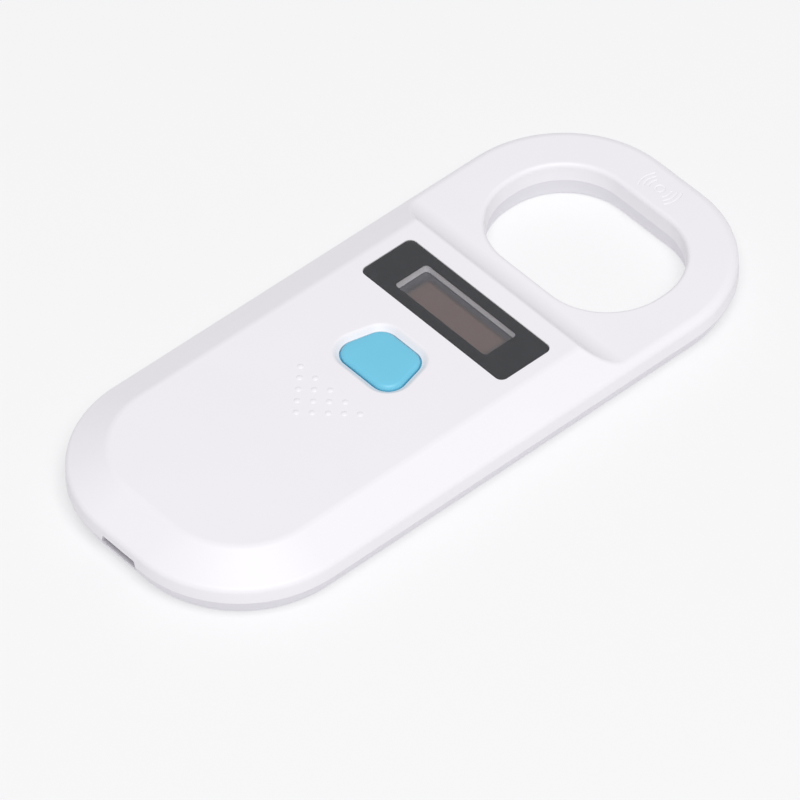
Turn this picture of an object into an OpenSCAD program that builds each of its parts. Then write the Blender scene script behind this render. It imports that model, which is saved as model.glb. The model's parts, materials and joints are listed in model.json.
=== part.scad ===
// Handheld reader for animal identification microchips.
// A slim two-piece casing holds a board, a display, one push key and a cell,
// and its open head carries the antenna coil round a finger hole.
// Origin: centre of the footprint, on the underside. +Y points to the antenna head, +Z up.

/* [Casing] */
// Overall width
body_w = 66; // [55:1:80]
// Overall length
body_l = 149.3; // [124:0.1:180]
// Height of the flat top over the underside
body_h = 11.8; // [9.8:0.1:14.4]
// Radius of the four outer corners, seen from above
corner_r = 26.5; // [15:0.5:27]
// Height of the line where the two shells meet
parting_z = 4.5; // [4.2:0.1:4.7]
// Thickness of the side walls
side_wall = 1.8; // [1.5:0.1:2.2]
// Thickness of the front shell over the electronics
top_wall = 1.8; // [1.6:0.1:2]
// Thickness of the rear shell's floor
floor_wall = 1.5; // [1.2:0.1:1.7]
// Distance from the outline to the edge of the flat top
slope_w = 8.55; // [6:0.05:10.3]
// Angle of the slope between them
slope_angle = 25; // [20:1:27]

/* [Antenna head] */
// Height of the head's flat top
head_h = 8.6; // [7.6:0.1:9]
// Width of the ring round the finger hole
ring_w = 11; // [9.5:0.1:13.5]
// Length of the finger hole
hole_l = 30.8; // [25:0.1:36]
// Corner radius of the finger hole
hole_r = 14.8; // [10:0.1:15]
// Radius of the hollow curve that steps down to the head
step_r = 7.2; // [7:0.1:9]
// Flat between the foot of the step and the finger hole
step_gap = 2.1; // [1.5:0.1:4]
// Width of the coil's winding
coil_w = 2.4; // [1.5:0.1:2.6]
// Height of the coil's winding
coil_h = 3.8; // [2:0.1:4]

/* [Display] */
// Length of the lens along the casing
lens_l = 13.5; // [12.5:0.1:16]
// Thickness of the lens, a film let into the casing
lens_t = 0.3; // [0.2:0.1:1.2]
// Flat top left on each side of the lens
lens_margin = 3.4; // [1:0.1:5]
// Flat top left between the lens and the step
lens_gap = 4.6; // [3:0.1:6]
// Width of the clear window
window_w = 27; // [22:0.5:28]
// Length of the clear window
window_l = 8.5; // [7:0.1:10]
// Width of the display panel's glass
panel_w = 30; // [28.5:0.5:32]
// Length of the display panel's glass
panel_l = 11.5; // [11:0.1:12.5]

/* [Key] */
// Length of the key along the casing
key_l = 11.9; // [11:0.1:15]
// Width of the key's narrow end before rounding
key_narrow_w = 12; // [11:0.1:15]
// Width of the key's wide end before rounding
key_wide_w = 18.1; // [15:0.1:20]
// Corner radius of the key
key_r = 3.6; // [2:0.1:4.6]
// Distance from the lens to the key
key_gap = 6.69; // [4:0.01:8]
// Travel of the key
key_travel = 0.25; // [0.15:0.05:0.4]
// Play round the key in its opening
key_play = 0.35; // [0.15:0.05:0.4]

/* [Grip dots] */
// Dots in the first row, one fewer in each row after it
dot_rows = 5; // [3:1:5]
// Diameter of a dot
dot_d = 1.4; // [1:0.1:1.8]
// Distance between dots in a row
dot_pitch = 4.47; // [3:0.01:5]
// Distance from the key to the first row
dot_gap = 7.71; // [5:0.01:9]

/* [Electronics] */
// Thickness of the circuit board
board_t = 1; // [0.8:0.1:1.2]
// Gap between the board and the side walls
board_gap = 1.4; // [1:0.1:2]
// Width of the cell
cell_w = 30; // [20:1:34]

/* [Hidden] */
$fn = 64;

// overshoot of every cut, so that no cut ends on a face
over = 1;
// gap between two resting faces of pieces that move apart
rest_gap = 0.03;
// gap between neighbouring fixed pieces
fit_gap = 0.1;

// edges of the casing
wall_draft = 0.1;
edge_r = 1.4;
rear_lean = 24;
rear_edge_r = 1.6;
arc_steps = 5;
slope_foot = wall_draft + edge_r * (1 - sin(slope_angle));
wall_top_z = body_h - (slope_w - slope_foot) * tan(slope_angle) - edge_r * cos(slope_angle);
inner_wall_z = body_h - (slope_w - side_wall) * tan(slope_angle) - top_wall / cos(slope_angle);
rear_foot = (rear_edge_r * (1 - sin(rear_lean)) + parting_z * sin(rear_lean)) / cos(rear_lean);
rear_wall = side_wall / cos(rear_lean);

// finger hole
hole_w = body_w - 2 * ring_w;
hole_y = body_l / 2 - ring_w - hole_l / 2;
hole_corner = min(hole_r, hole_l / 2 - 0.3);
hole_wall = 1.5;
lip_draft = 0.24;
lip_r = 1;
lip_low_draft = 0.5;
lip_low_r = 0.8;
head_wall = 1.6;

// step down to the head
step_foot_y = hole_y - hole_l / 2 - step_gap;
step_rise = body_h - head_h;
step_edge_y = step_foot_y - sqrt(pow(step_r, 2) - pow(step_r - step_rise, 2));

// tongue of the rear shell inside the front shell
tongue_t = 0.75;
tongue_h = 1.2;
tongue_play = 0.08;

// display stack, from the top down
lens_w = body_w - 2 * slope_w - 2 * lens_margin;
lens_y = step_edge_y - lens_gap - lens_l / 2;
lens_r = 1.5;
lens_play = 0.08;
mask_t = 0.06;
tape_t = 0.12;
window_r = 0.8;
lens_z = body_h - lens_t;
mask_z = lens_z - mask_t;
tape_z = mask_z - tape_t;
panel_depth = 2.6;
panel_t = 1.4;
foam_t = 1.1;
panel_z = body_h - panel_depth - panel_t;
reveal_gap = 0.3;
reveal_wall = 0.9;
flex_w = 9;
flex_t = 0.15;
flex_bend = 1.2;

// circuit board
board_top = panel_z - foam_t;
board_z = board_top - board_t;
board_rise = 0.2;
// inset of the board's edge: clear of the wall, and of the inside of the slope above it
board_in = max(
    side_wall + board_gap,
    slope_w - (body_h - top_wall / cos(slope_angle) - board_top - board_rise) / tan(slope_angle)
);
board_end = -body_l / 2 + board_in;
board_head = step_edge_y - top_wall - 2.2;

// key and switch
key_y = lens_y - lens_l / 2 - key_gap - key_l / 2;
key_recess = 1;
key_apron = 1.6;
key_crown_z = body_h + 0.2;
key_crown_r = 60;
key_flange = 0.9;
key_flange_t = 0.8;
key_wall = 1.3;
key_roof = 1.3;
stem_d = 4;
switch_w = 6;
switch_h = 2.3;
cover_t = 0.2;
plunger_d = 3.2;
plunger_play = 0.15;
inside_top = body_h - top_wall;
cover_z = board_top + switch_h;
stem_z = cover_z + cover_t + max(0.5, key_travel + 0.2);
foot_h = 1.2;

// grip dots
dot_row_pitch = dot_pitch / 2;
dot_rise = 0.2;
dot_sphere = (pow(dot_d / 2, 2) + pow(dot_rise, 2)) / (2 * dot_rise);
dots_y = key_y - key_l / 2 - dot_gap;

// wave mark on the head, engraved
mark_y = body_l / 2 - ring_w / 2 - 0.6;
mark_depth = 0.2;
mark_line = 0.5;
mark_radii = [2.5, 3.6, 4.7];
mark_dot_r = 0.9;
mark_angle = 60;

// socket
usb_w = 7.5;
usb_h = 2.5;
usb_l = 5.2;
usb_shell = 0.25;
usb_back = 1;
usb_shoulder = 1.4;
tongue_in = 0.8;
usb_face_y = -body_l / 2 + 1.6;
usb_z = board_z - usb_h;
port_top_w = 9.5;
port_low_w = 10.5;
port_rise = 0.15;

// screws and their posts
screw_x = body_w / 2 - slope_w - 4.2;
screw_y_head = board_head - 5;
screw_y_end = -body_l / 2 + 21;
screw_d = 2;
screw_head_d = 3.8;
screw_head_h = 1.3;
screw_head_z = 0.8;
screw_l = 5.6;
pilot_play = 0.04;
post_d = 5.6;
sink_d = 4.3;
passage_d = 2.4;
board_screw_x = 8;
board_screw_y = -body_l / 2 + 16;
board_screw_d = 1.6;
board_head_d = 3;
board_head_h = 0.8;
board_screw_l = 3;

// cell bay under the board
parts_y = (key_y - switch_w / 2 + board_screw_y + board_head_d) / 2;
parts_pitch = 2.4;
parts_x = 13;
parts_edge_x = 18.5;
leg = [1, 0.4, 0.25];
leg_out = 0.4;
chip_foot = 0.1;
inductor_w = 5;
inductor_foot = 0.6;
inductor_h = 2;
connector_w = 6;
connector_l = 4.4;
connector_h = 2.4;
connector_y = key_y - 3.5;
lead_d = 0.9;
lead_span = 3;
lead_gap = 2.2;
cell_head = connector_y - connector_l / 2 - lead_span;
cell_end = board_screw_y + board_head_d / 2 + 2;
cell_r = 1.5;
cell_z = floor_wall + 0.2;
tape_strip_h = 0.2;
cell_top = board_z - 0.2;
rib_t = 1;
rib_l = 8;
rib_h = 1.6;

// coil
coil_in = hole_wall + 0.8;
coil_z = floor_wall + 0.6;
coil_top = min(coil_z + coil_h, head_h - head_wall - 0.4);
coil_lead_d = 0.7;
coil_lead_gap = 3;
coil_lead_z = board_z - 0.5;

// label
label_w = 34;
label_l = 30;
label_y = -body_l / 2 + 40;
label_t = 0.15;
label_sink = 0.25;
label_r = 2;

// points of an arc about c, from angle a to angle b
function arc(c, r, a, b, n = arc_steps) = [for (i = [0:n]) c + r * [cos(a + (b - a) * i / n), sin(a + (b - a) * i / n)]];

// a convex outline with every corner rounded, listed anticlockwise
function turn(v) = atan2(v[1], v[0]);
function rounded(pts, r, n = 10) = [
    for (i = [0:len(pts) - 1])
        let (
            p = pts[i],
            u = pts[(i + len(pts) - 1) % len(pts)] - p,
            v = pts[(i + 1) % len(pts)] - p,
            half = acos((u * v) / (norm(u) * norm(v))) / 2,
            mid = u / norm(u) + v / norm(v),
            c = p + mid / norm(mid) * r / sin(half),
            start = turn(u) + 90,
            sweep = 180 - 2 * half
        )
        each arc(c, r, start, start + sweep, n)
];

// heights and outward offsets of the casing's edge, from the parting line up
front_rim = concat(
    [[0, parting_z]],
    arc([-wall_draft - edge_r, wall_top_z], edge_r, 0, 90 - slope_angle),
    [[-slope_w, body_h]]
);
// the same edge on the inside, a wall's thickness in
inner_rim = [
    [-side_wall, parting_z - over],
    [-side_wall, inner_wall_z],
    [-slope_w - top_wall * tan(slope_angle / 2), inside_top]
];
// from the underside up to the parting line
rear_rim = concat(arc([-rear_foot, rear_edge_r], rear_edge_r, -90, -rear_lean), [[0, parting_z]]);
rear_inner_rim = [
    [-rear_wall - (parting_z - floor_wall) * tan(rear_lean), floor_wall],
    [-rear_wall, parting_z],
    [-rear_wall, parting_z + over]
];
function level_rim(inset, low, high) = [[-inset, low], [-inset, high]];

// edge of the finger hole in each shell
front_lip = concat(
    [[0, parting_z - over], [0, parting_z]],
    arc([lip_draft + lip_r, head_h - lip_r], lip_r, 180, 90),
    [[lip_draft + lip_r, head_h + over]]
);
rear_lip = concat(
    [[lip_low_draft + lip_low_r, -over]],
    arc([lip_low_draft + lip_low_r, lip_low_r], lip_low_r, 270, 180),
    [[0, parting_z], [0, parting_z + over]]
);

// a rounded rectangle whose edge follows a rim of [outward offset, height], from bottom to top
module slab(w, l, r, rim) {
    cx = w / 2 - r;
    cy = l / 2 - r;
    low = rim[0][1];
    high = rim[len(rim) - 1][1];
    edge = concat([[0, low]], [for (p = rim) [r + p[0], p[1]]], [[0, high]]);
    corners = [[cx, cy], [-cx, cy], [-cx, -cy], [cx, -cy]];
    for (i = [0:3])
        translate([corners[i][0], corners[i][1], 0])
            rotate([0, 0, 90 * i]) rotate_extrude(angle = 90) polygon(edge);
    for (s = [0, 180]) rotate([0, 0, s]) {
        translate([cx, cy, 0]) rotate([90, 0, 0]) linear_extrude(2 * cy) polygon(edge);
        translate([-cx, cy, 0]) rotate([90, 0, 90]) linear_extrude(2 * cx) polygon(edge);
    }
    translate([-cx, -cy, low]) cube([2 * cx, 2 * cy, high - low]);
}

module casing_slab(rim) slab(body_w, body_l, corner_r, rim);

module hole_slab(rim) translate([0, hole_y, 0]) slab(hole_w, hole_l, hole_corner, rim);

// everything above the head, moved by a wall's thickness for the inside
module over_head(back = 0, down = 0) {
    side = concat(
        [[step_edge_y, body_h + over]],
        arc([step_foot_y, head_h + step_r], step_r, -90 - asin((step_foot_y - step_edge_y) / step_r), -90),
        [[body_l, head_h], [body_l, body_h + over]]
    );
    translate([-body_w, -back, -down]) rotate([90, 0, 90]) linear_extrude(2 * body_w) polygon(side);
    if (down > 0) translate([-body_w, step_edge_y - back, head_h + 0.5]) cube([2 * body_w, body_l, body_h]);
}

module plate(w, l, r, t) linear_extrude(t) polygon(rounded([[w, -l] / 2, [w, l] / 2, [-w, l] / 2, [-w, -l] / 2], r, 6));

// the key's outline, grown outwards by the same distance on every side
module key_outline(grow = 0) {
    lean = atan((key_wide_w - key_narrow_w) / (2 * key_l));
    n = key_narrow_w / 2 + grow * (1 - sin(lean)) / cos(lean);
    w = key_wide_w / 2 + grow * (1 + sin(lean)) / cos(lean);
    h = key_l / 2 + grow;
    polygon(rounded([[w, -h], [n, h], [-n, h], [-w, -h]], key_r + grow));
}

module each_screw() for (x = [-screw_x, screw_x], y = [screw_y_end, screw_y_head]) translate([x, y, 0]) children();
module each_board_screw() for (x = [-board_screw_x, board_screw_x]) translate([x, board_screw_y, 0]) children();

module grip_dots() {
    for (row = [0:dot_rows - 1], i = [0:dot_rows - 1 - row])
        translate([(i - (dot_rows - 1 - row) / 2) * dot_pitch, dots_y - row * dot_row_pitch, body_h + dot_rise - dot_sphere])
            sphere(r = dot_sphere);
}

module wave_mark() {
    translate([0, mark_y, head_h - mark_depth]) {
        difference() {
            cylinder(r = mark_dot_r + mark_line / 2, h = over);
            translate([0, 0, -over]) cylinder(r = mark_dot_r - mark_line / 2, h = 3 * over);
        }
        for (side = [0, 180], r = mark_radii)
            rotate([0, 0, side - mark_angle / 2]) rotate_extrude(angle = mark_angle)
                translate([r - mark_line / 2, 0]) square([mark_line, over]);
    }
}

// opening round the socket, wider at its foot
module port_cut() {
    translate([0, usb_face_y + usb_l * 0.5, 0]) rotate([90, 0, 0]) linear_extrude(body_l / 2)
        polygon([
            [port_low_w / 2, usb_z + usb_shell], [port_top_w / 2, board_z + port_rise],
            [-port_top_w / 2, board_z + port_rise], [-port_low_w / 2, usb_z + usb_shell]
        ]);
}

module front_cavity() {
    difference() {
        casing_slab(inner_rim);
        over_head(head_wall, head_wall);
    }
    casing_slab(level_rim(side_wall - tongue_t - tongue_play, parting_z - over, parting_z + tongue_h + tongue_play));
}

module front_shell() {
    color([0.95, 0.94, 0.96]) difference() {
        union() {
            difference() {
                casing_slab(front_rim);
                difference() {
                    front_cavity();
                    hole_slab(level_rim(-hole_wall, 0, body_h));
                }
            }
            each_screw() translate([0, 0, parting_z]) cylinder(d = post_d, h = inside_top - parting_z + top_wall / 2);
            each_board_screw() translate([0, 0, board_top]) cylinder(d = 4, h = inside_top - board_top + top_wall / 2);
            translate([0, lens_y, panel_z + panel_t + fit_gap])
                plate(window_w + 2 * (reveal_gap + reveal_wall), window_l + 2 * (reveal_gap + reveal_wall), 1.2, inside_top - panel_z - panel_t);
            grip_dots();
        }
        over_head();
        hole_slab(front_lip);
        translate([0, lens_y, tape_z]) plate(lens_w + 2 * lens_play, lens_l + 2 * lens_play, lens_r + lens_play, body_h);
        translate([0, lens_y, inside_top - body_h]) plate(window_w + 2 * reveal_gap, window_l + 2 * reveal_gap, window_r, 2 * body_h);
        translate([0, key_y, body_h - key_recess]) linear_extrude(body_h) key_outline(key_apron);
        translate([0, key_y, board_top]) linear_extrude(body_h) key_outline(key_play);
        each_screw() translate([0, 0, parting_z - over]) cylinder(d = screw_d + pilot_play, h = screw_head_z + screw_head_h + screw_l + 0.4 - parting_z + over);
        each_board_screw() translate([0, 0, board_top - over]) cylinder(d = board_screw_d + pilot_play, h = board_screw_l - board_t + 0.4 + over);
        port_cut();
        wave_mark();
    }
}

// room in the floor for what hangs under the board
module room(corner, size)
    translate(corner - fit_gap * [1, 1, 1]) cube([size[0] + 2 * fit_gap, size[1] + 2 * fit_gap, body_h]);

// low ribs that hold the cell in place
module cell_ribs() {
    for (y = [cell_end - rib_t - fit_gap, cell_head + fit_gap], s = [-1, 1])
        translate([s * (rib_l / 2 + lead_gap) - rib_l / 2, y, floor_wall - over]) cube([rib_l, rib_t, rib_h + over]);
    for (x = [-cell_w / 2 - rib_t - fit_gap, cell_w / 2 + fit_gap])
        translate([x, (cell_end + cell_head - rib_l) / 2, floor_wall - over]) cube([rib_t, rib_l, rib_h + over]);
}

// pads that the coil is glued to
module coil_rests() {
    mid = coil_in + coil_w / 2;
    for (p = [[hole_w / 2 + mid, 0], [-hole_w / 2 - mid, 0], [0, hole_l / 2 + mid]])
        translate([p[0] - coil_w / 2, hole_y + p[1] - coil_w / 2, floor_wall - over]) cube([coil_w, coil_w, coil_z - floor_wall + over]);
}

module rear_shell() {
    color([0.91, 0.9, 0.93]) difference() {
        union() {
            difference() {
                casing_slab(rear_rim);
                difference() {
                    casing_slab(rear_inner_rim);
                    hole_slab(level_rim(-hole_wall, 0, body_h));
                }
            }
            difference() {
                casing_slab(level_rim(side_wall - tongue_t, parting_z - over, parting_z + tongue_h));
                casing_slab(level_rim(rear_wall, parting_z - 2 * over, parting_z + 2 * tongue_h));
            }
            each_screw() cylinder(d = post_d + 1, h = parting_z);
            cell_ribs();
            coil_rests();
        }
        hole_slab(rear_lip);
        each_screw() {
            translate([0, 0, -over]) cylinder(d = sink_d, h = screw_head_z + screw_head_h + over);
            cylinder(d = passage_d, h = body_h);
        }
        port_cut();
        room([-usb_w / 2, usb_face_y, usb_z], [usb_w, usb_l]);
        room([-connector_w / 2, connector_y - connector_l / 2, board_z - connector_h], [connector_w, connector_l]);
        translate([0, label_y, -body_h + label_sink]) plate(label_w, label_l, label_r, body_h);
    }
}

module display_lens() {
    color([0.8, 0.85, 0.88, 0.4]) translate([0, lens_y, lens_z]) plate(lens_w, lens_l, lens_r, lens_t);
}

module lens_frame(t) difference() {
    plate(lens_w, lens_l, lens_r, t);
    translate([0, 0, -over]) plate(window_w, window_l, window_r, t + 2 * over);
}

module lens_mask() {
    color([0.07, 0.07, 0.08]) translate([0, lens_y, mask_z]) lens_frame(mask_t);
}

module lens_adhesive() {
    color([0.2, 0.2, 0.2]) translate([0, lens_y, tape_z]) difference() {
        plate(lens_w, lens_l, lens_r, tape_t);
        translate([0, 0, -over]) plate(window_w + 2 * reveal_gap, window_l + 2 * reveal_gap, window_r, tape_t + 2 * over);
    }
}

module oled_panel() {
    color([0.24, 0.21, 0.2]) translate([0, lens_y, panel_z]) {
        translate([-panel_w / 2, -panel_l / 2, 0]) cube([panel_w, panel_l, panel_t / 2]);
        translate([-panel_w / 2, -panel_l / 2 + 1.2, panel_t / 2]) cube([panel_w, panel_l - 1.2, panel_t / 2]);
    }
}

module oled_foam() {
    color([0.15, 0.15, 0.16]) translate([0, lens_y, board_top]) translate([-panel_w / 2 + 1, -panel_l / 2 + 1, 0])
        cube([panel_w - 2, panel_l - 2, foam_t]);
}

// flat cable folded from the panel's edge down to the board
module oled_flex() {
    low = lens_y - panel_l / 2;
    color([0.72, 0.45, 0.14]) translate([-flex_w / 2, 0, 0]) {
        translate([0, low - flex_bend, panel_z + panel_t / 2]) cube([flex_w, flex_bend + 1.2 - fit_gap, flex_t]);
        translate([0, low - flex_bend, board_top + flex_t]) cube([flex_w, flex_t, panel_z + panel_t / 2 - board_top - flex_t]);
        translate([0, low - flex_bend - 1.6, board_top]) cube([flex_w, 1.6 + flex_t, flex_t]);
    }
}

module button_cap() {
    color([0.4, 0.78, 0.9]) difference() {
        union() {
            intersection() {
                translate([0, key_y, inside_top - rest_gap]) linear_extrude(body_h) key_outline();
                translate([0, key_y, key_crown_z - key_crown_r]) sphere(r = key_crown_r, $fn = 200);
            }
            translate([0, key_y, inside_top - rest_gap - key_flange_t]) linear_extrude(key_flange_t) key_outline(key_flange);
        }
        difference() {
            translate([0, key_y, board_top]) linear_extrude(inside_top + top_wall - key_recess - key_roof + 0.3 - board_top) key_outline(-key_wall);
            translate([0, key_y, stem_z]) cylinder(d = stem_d, h = body_h);
        }
    }
}

module switch_body() {
    color([0.1, 0.1, 0.11]) translate([0, key_y, board_top]) difference() {
        translate([-switch_w / 2, -switch_w / 2, 0]) cube([switch_w, switch_w, switch_h]);
        translate([0, 0, switch_h - foot_h - key_travel]) cylinder(d = plunger_d + 1.2, h = switch_h);
    }
}

module switch_cover() {
    color([0.75, 0.75, 0.76]) translate([0, key_y, cover_z]) difference() {
        translate([-switch_w / 2, -switch_w / 2, 0]) cube([switch_w, switch_w, cover_t]);
        translate([0, 0, -over]) cylinder(d = plunger_d + 2 * plunger_play, h = cover_t + 2 * over);
    }
}

module switch_plunger() {
    color([0.15, 0.15, 0.16]) translate([0, key_y, 0]) {
        translate([0, 0, cover_z - foot_h + fit_gap]) cylinder(d = plunger_d, h = stem_z - rest_gap - cover_z + foot_h - fit_gap);
        translate([0, 0, cover_z - foot_h + fit_gap]) cylinder(d = plunger_d + 0.8, h = foot_h - 2 * fit_gap);
    }
}

module main_board() {
    color([0.1, 0.35, 0.2]) difference() {
        intersection() {
            casing_slab(level_rim(board_in, board_z, board_top));
            translate([-body_w, board_end - over, 0]) cube([2 * body_w, board_head - board_end + over, body_h]);
        }
        each_screw() cylinder(d = post_d + 2, h = body_h);
        each_board_screw() cylinder(d = board_screw_d + 0.2, h = body_h);
    }
}

// a moulded chip with a row of legs along its two long sides
module chip(w, l, h, legs, pitch) {
    color([0.12, 0.12, 0.13]) translate([-w / 2, -l / 2, chip_foot]) cube([w, l, h - chip_foot]);
    color([0.8, 0.8, 0.8]) for (i = [0:legs - 1], s = [-1, 1])
        translate([s * (w / 2 + leg_out) - leg[0] / 2, (i - (legs - 1) / 2) * pitch - leg[1] / 2, 0]) cube(leg);
}

module microcontroller() {
    translate([-parts_x, parts_y, board_top]) chip(7, 7, 1.4, 8, 0.8);
}

module reader_chip() {
    translate([parts_x, parts_y, board_top]) chip(4, 10, 1.5, 7, 1.27);
}

module charger_chip() {
    translate([0, board_screw_y, board_top]) chip(1.7, 3, 1.1, 3, 0.95);
}

module crystal() {
    color([0.78, 0.76, 0.7]) translate([-parts_x, parts_y + 7, board_top]) translate([-2.5, -1.6, 0]) cube([5, 3.2, 1.2]);
}

module power_inductor() {
    color([0.25, 0.25, 0.27]) translate([parts_x + 3, key_y - inductor_w, board_top]) {
        translate([-inductor_w / 2, -inductor_w / 2, 0]) cube([inductor_w, inductor_w, inductor_foot]);
        cylinder(d = inductor_w * 0.64, h = inductor_h);
        translate([0, 0, inductor_h - inductor_foot]) cylinder(d = inductor_w - 0.2, h = inductor_foot);
    }
}

module small_passives() {
    spots = [
        for (x = [-parts_edge_x, parts_edge_x], i = [-2:2]) [x, parts_y + 1 + parts_pitch * i],
        for (i = [-2:2]) [parts_pitch * i, parts_y - 6.5]
    ];
    for (p = spots) translate([p[0], p[1], board_top]) {
        color([0.75, 0.7, 0.62]) translate([-0.5, -0.4, 0]) cube([1, 0.8, 0.75]);
        color([0.8, 0.8, 0.8]) for (s = [-1, 1]) translate([s * 0.65 - 0.15, -0.4, 0]) cube([0.3, 0.8, 0.78]);
    }
}

module buzzer() {
    color([0.1, 0.1, 0.1]) translate([0, parts_y, board_top]) difference() {
        translate([-4.5, -4.5, 0]) cube([9, 9, 1.9]);
        translate([0, 0, 1.5]) cylinder(d = 2, h = over);
    }
}

module usb_socket() {
    color([0.75, 0.75, 0.77]) translate([0, usb_face_y, usb_z]) rotate([-90, 0, 0]) rotate([0, 0, 180]) difference() {
        linear_extrude(usb_l) usb_outline(0);
        translate([0, 0, -over]) linear_extrude(usb_l - usb_back + over) usb_outline(usb_shell);
    }
}

// socket outline, standing on its wide side
module usb_outline(inset) {
    w = usb_w / 2 - inset;
    n = w - usb_shoulder / 2 + inset * 0.4;
    polygon([[-w, inset], [w, inset], [w, usb_shoulder], [n, usb_h - inset], [-n, usb_h - inset], [-w, usb_shoulder]]);
}

module usb_tongue() {
    color([0.08, 0.08, 0.08]) translate([-1.8, usb_face_y + tongue_in, usb_z + usb_h / 2]) cube([3.6, usb_l - usb_back - tongue_in, 0.6]);
}

module battery_cell() {
    color([0.75, 0.76, 0.78]) translate([0, (cell_end + cell_head) / 2, cell_z]) plate(cell_w, cell_head - cell_end, cell_r, cell_top - cell_z - tape_strip_h);
}

module battery_tape() {
    color([0.85, 0.75, 0.35]) translate([-cell_w / 2, cell_head - 5, cell_top - tape_strip_h]) cube([cell_w, 5, tape_strip_h]);
}

module cell_lead(x) {
    translate([x, connector_y - connector_l / 2, board_z - connector_h / 2]) rotate([90, 0, 0]) cylinder(d = lead_d, h = lead_span);
}

module battery_lead_red() {
    color([0.8, 0.1, 0.08]) cell_lead(lead_gap / 2);
}

module battery_lead_black() {
    color([0.05, 0.05, 0.05]) cell_lead(-lead_gap / 2);
}

module battery_connector() {
    color([0.93, 0.92, 0.88]) translate([-connector_w / 2, connector_y - connector_l / 2, board_z - connector_h]) cube([connector_w, connector_l, connector_h]);
}

module antenna_coil() {
    color([0.72, 0.4, 0.2]) difference() {
        hole_slab(level_rim(-coil_in - coil_w, coil_z, coil_top));
        hole_slab(level_rim(-coil_in, coil_z - over, coil_top + over));
    }
}

module coil_leads() {
    coil_edge = hole_y - hole_l / 2 - coil_in - coil_w;
    color([0.75, 0.45, 0.25]) for (x = [-coil_lead_gap / 2, coil_lead_gap / 2]) translate([x, 0, 0]) {
        translate([0, coil_edge, coil_lead_z]) rotate([90, 0, 0]) cylinder(d = coil_lead_d, h = coil_edge - board_head + 2);
        translate([0, board_head - 1.6, coil_lead_z]) cylinder(d = 1.2, h = board_z - coil_lead_z);
    }
}

module screw(d, head_d, head_h, l) {
    difference() {
        union() {
            cylinder(d = head_d, h = head_h);
            cylinder(d = d, h = head_h + l);
        }
        for (a = [0, 90]) rotate([0, 0, a]) translate([-head_d * 0.3, -d * 0.12, -over]) cube([head_d * 0.6, d * 0.24, over + head_h * 0.5]);
    }
}

module casing_screws() {
    color([0.3, 0.3, 0.32]) each_screw() translate([0, 0, screw_head_z]) screw(screw_d, screw_head_d, screw_head_h, screw_l);
}

module board_screws() {
    color([0.6, 0.6, 0.62]) each_board_screw() translate([0, 0, board_z - board_head_h]) screw(board_screw_d, board_head_d, board_head_h, board_screw_l);
}

module rating_label() {
    color([0.85, 0.86, 0.88]) translate([0, label_y, label_sink - label_t]) plate(label_w - 0.4, label_l - 0.4, label_r - 0.2, label_t);
}

front_shell();
rear_shell();
display_lens();
lens_mask();
lens_adhesive();
oled_panel();
oled_foam();
oled_flex();
button_cap();
switch_body();
switch_cover();
switch_plunger();
main_board();
microcontroller();
reader_chip();
charger_chip();
crystal();
power_inductor();
small_passives();
buzzer();
usb_socket();
usb_tongue();
battery_cell();
battery_tape();
battery_lead_red();
battery_lead_black();
battery_connector();
antenna_coil();
coil_leads();
casing_screws();
board_screws();
rating_label();
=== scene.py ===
import json
import math

import bmesh
import bpy
from mathutils import Matrix, Vector


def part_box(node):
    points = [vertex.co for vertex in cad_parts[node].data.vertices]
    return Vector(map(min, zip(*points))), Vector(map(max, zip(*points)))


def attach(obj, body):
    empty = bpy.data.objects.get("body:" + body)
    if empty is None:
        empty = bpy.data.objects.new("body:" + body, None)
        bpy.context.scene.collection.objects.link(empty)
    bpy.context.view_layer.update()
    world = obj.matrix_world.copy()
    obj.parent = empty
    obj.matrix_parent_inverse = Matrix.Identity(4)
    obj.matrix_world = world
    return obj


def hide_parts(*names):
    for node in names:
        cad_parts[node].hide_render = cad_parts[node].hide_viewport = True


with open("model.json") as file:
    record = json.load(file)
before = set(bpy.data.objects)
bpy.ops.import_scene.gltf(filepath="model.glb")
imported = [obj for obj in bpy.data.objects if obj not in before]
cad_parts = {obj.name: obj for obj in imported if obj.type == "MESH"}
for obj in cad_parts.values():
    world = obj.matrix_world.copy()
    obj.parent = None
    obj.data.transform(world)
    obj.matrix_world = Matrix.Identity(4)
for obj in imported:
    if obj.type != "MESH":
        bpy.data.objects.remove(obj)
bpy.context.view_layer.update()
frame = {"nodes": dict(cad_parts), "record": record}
print("frame loaded, CAD box kept")

mm = 0.001  # pieces are modelled in millimetres and shrunk to metres when they are done
close = 0.005  # places nearer than this count as the same
facing = 0.99  # a normal with this much along an axis faces that way
overlap = 0.1  # how far joined pieces reach into each other


def cornersOf(node):  # a CAD node's lowest and highest corners, in millimetres
    low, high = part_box(node)
    return low / mm, high / mm


frontLow, frontHigh = cornersOf("front_shell")
rearLow, rearHigh = cornersOf("rear_shell")
lensLow, lensHigh = cornersOf("display_lens")
maskLow, maskHigh = cornersOf("lens_mask")
tapeLow, tapeHigh = cornersOf("lens_adhesive")
panelLow, panelHigh = cornersOf("oled_panel")
keyLow, keyHigh = cornersOf("button_cap")
plungerHigh = cornersOf("switch_plunger")[1]
boardHigh = cornersOf("main_board")[1]
socketLow, socketHigh = cornersOf("usb_socket")
tongueLow, tongueHigh = cornersOf("usb_tongue")
plugLow, plugHigh = cornersOf("battery_connector")
coilLow, coilHigh = cornersOf("antenna_coil")
cellLow, cellHigh = cornersOf("battery_cell")
screwsLow, screwsHigh = cornersOf("casing_screws")
boardScrewsLow, boardScrewsHigh = cornersOf("board_screws")
labelLow, labelHigh = cornersOf("rating_label")
lensMid = (lensLow + lensHigh) / 2
keyMid = (keyLow + keyHigh) / 2
coilMid = (coilLow + coilHigh) / 2
labelMid = (labelLow + labelHigh) / 2


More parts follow.
